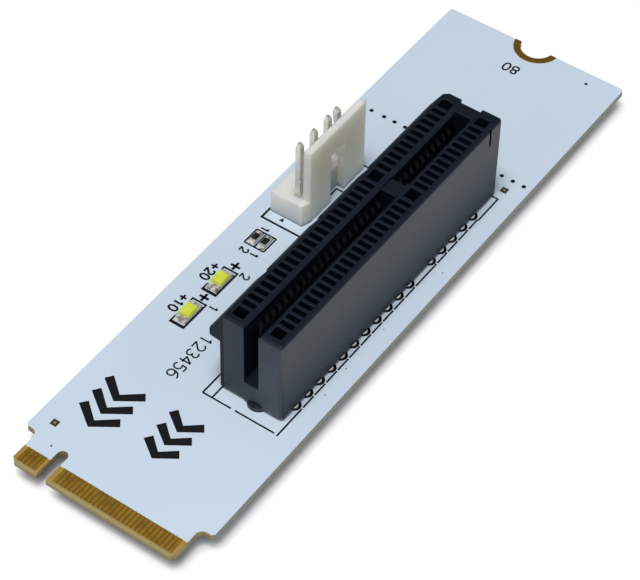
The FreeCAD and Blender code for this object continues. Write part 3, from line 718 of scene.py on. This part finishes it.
def print_marks():
    """Black marks on the board's top: part outlines, plus signs, plain numbers, arrowheads and dots."""
    shapes = [stroke([start, end], width) for start, end, width in OUTLINES]
    shapes += side_line()
    for x0, x1 in LAMP_FRAMES:
        shapes += lamp_marks(x0, x1)
    for sides in RESISTOR_FRAMES:
        shapes += box_lines(*sides, FINE)
    for row in NUMBER_ROWS:
        shapes += numbers(*row)
    for row in ARROW_ROWS:
        shapes += arrow_row(*row)
    shapes.append(plate(PIN_ONE_MARK))
    shapes += [dot((DOT_ROW_X, y), DOT_ROW_RADIUS) for y in DOT_ROW_YS]
    shapes += [dot(place, radius) for place, radius in SINGLE_DOTS]
    points, faces = joined(shapes)
    piece("board_print", (points - [HALF_LENGTH, 0, 0], faces), INK, smooth=False)


solder_pieces()
print_marks()


# Stage: floor, light and camera, in metres except where a name says otherwise.
FLOOR_REACH = 2.0
FLOOR_LIT = (0.9, 0.9, 0.9, 1.0)
FLOOR_SEEN = (0.3, 0.3, 0.3, 1.0)
FLOOR_GLOW = 0.76
SHADOW_LEAN = {"X": -0.55, "Y": 0.52, "Z": 0.65}
SHADOW_REACH = 0.002
SHADOW_DEEPEST = 0.72
SHADOW_ENDS = 0.96
ROOM_BACK = (0.77, 0.64, 0.0)
ROOM_TURN = 0.7
ROOM_BRIGHT = 0.62
ROOM_DIM = 0.1
KEY_PLACE = (-0.12, -0.02, 0.66)
KEY_SIZE = 0.18
KEY_POWER = 3.0
EYE_MM = (-141.542, -95.044, 187.527)
AIM_MM = (-4.440, -1.521, 2.3)
CAMERA_ROLL = 0.02536
SENSOR_MM = 36.0
LENS_MM = 135.933


def stage_floor():
    """Pale floor that shows white and keeps the card's shadow, deepest close beside the board: what the
    camera and reflections see of it glows by how open the floor is about a leaning direction."""
    mesh = bpy.data.meshes.new("floor")
    r = FLOOR_REACH
    mesh.from_pydata([(-r, -r, 0), (r, -r, 0), (r, r, 0), (-r, r, 0)], [], [(0, 1, 2, 3)])
    floor = bpy.data.objects.new("floor", mesh)
    bpy.context.scene.collection.objects.link(floor)
    material, s, surface = finish("floor_white")
    surface.inputs["Roughness"].default_value = 0.9
    surface.inputs["Specular IOR Level"].default_value = 0.0
    path = s.add("ShaderNodeLightPath").outputs
    straight = s.math("MAXIMUM", path["Is Camera Ray"], path["Is Transmission Ray"])
    seen = s.math("MAXIMUM", straight, path["Is Glossy Ray"])
    s.link(s.mix(seen, FLOOR_LIT, FLOOR_SEEN), surface.inputs["Base Color"])
    lean = s.add("ShaderNodeCombineXYZ", SHADOW_LEAN).outputs["Vector"]
    around = s.add("ShaderNodeAmbientOcclusion", {"Distance": SHADOW_REACH, "Normal": lean}, samples=32)
    lightness = s.ramp(around.outputs["AO"], SHADOW_DEEPEST, SHADOW_ENDS, 0.0, FLOOR_GLOW)
    glow = s.math("MULTIPLY", seen, lightness)
    s.link(s.mix(glow, (0, 0, 0, 1), (1, 1, 1, 1)), surface.inputs["Emission Color"])
    surface.inputs["Emission Strength"].default_value = 1.0
    mesh.materials.append(material)


def stage_light():
    """Soft room light, stronger on the side of the tongue and the slot, and a large key nearly overhead."""
    world = bpy.data.worlds.new("room")
    world.use_nodes = True
    s = Sheet(world.node_tree)
    background = world.node_tree.nodes["Background"]
    behind = s.dot(s.add("ShaderNodeTexCoord").outputs["Generated"], ROOM_BACK)
    s.link(s.ramp(behind, -ROOM_TURN, ROOM_TURN, ROOM_BRIGHT, ROOM_DIM), background.inputs["Strength"])
    background.inputs["Color"].default_value = (1, 1, 1, 1)
    bpy.context.scene.world = world
    data = bpy.data.lights.new("key", "AREA")
    data.size = KEY_SIZE
    data.energy = KEY_POWER
    key = bpy.data.objects.new("key", data)
    bpy.context.scene.collection.objects.link(key)
    place = Vector(KEY_PLACE)
    key.matrix_world = Matrix.Translation(place) @ (-place).to_track_quat("-Z", "Y").to_matrix().to_4x4()


def camera():
    """Camera at the photograph's view, from its eye and aim, with a small roll about the line of sight."""
    eye = Vector(EYE_MM) * MM
    aim = Vector(AIM_MM) * MM
    forward = (aim - eye).normalized()
    level = forward.cross(Vector((0, 0, 1))).normalized()
    upright = level.cross(forward)
    right = level * np.cos(CAMERA_ROLL) + upright * np.sin(CAMERA_ROLL)
    up = right.cross(forward)
    data = bpy.data.cameras.new("photo_view")
    data.sensor_width = SENSOR_MM
    data.lens = LENS_MM
    data.clip_start = 0.01
    view = bpy.data.objects.new("photo_view", data)
    bpy.context.scene.collection.objects.link(view)
    turn = Matrix((right, up, -forward)).transposed().to_4x4()
    view.matrix_world = Matrix.Translation(eye) @ turn
    bpy.context.scene.camera = view


stage_floor()
stage_light()
camera()
bpy.context.scene.view_settings.view_transform = "Standard"
